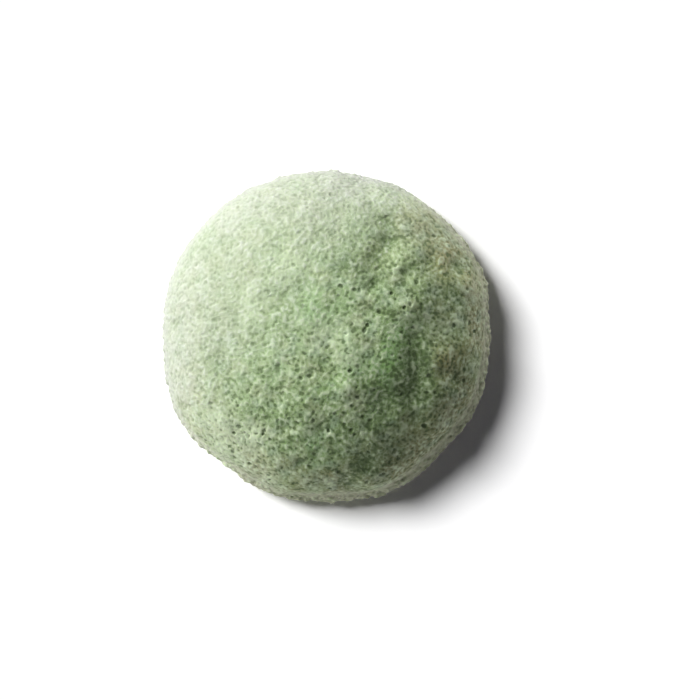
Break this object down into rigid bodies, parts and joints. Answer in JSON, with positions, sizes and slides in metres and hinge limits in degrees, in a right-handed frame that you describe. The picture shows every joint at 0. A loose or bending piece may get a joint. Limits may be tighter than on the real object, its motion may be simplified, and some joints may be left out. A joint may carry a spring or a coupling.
{
  "type": "exfoliating sponge",
  "caption": "Half-ball exfoliating face sponge in pale green open-cell plant foam, with a domed porous top, a rolled lip and a flat seat.",
  "frame": {"origin": "middle of the footprint of the sponge, on the flat seat that it lies on", "axes": "+Z up through the crown, square to the seat; +X to the right and +Y up as seen from straight above, with the deepest fold of the skin towards +X"},
  "size_m": [0.08, 0.08, 0.0404],
  "materials": {
    "sponge_foam": "matt, slightly translucent open-cell plant foam with fine pale cell walls and dark pores"
  },
  "bodies": {
    "root": {"sponge_body": "sponge_foam"}
  },
  "joints": []
}
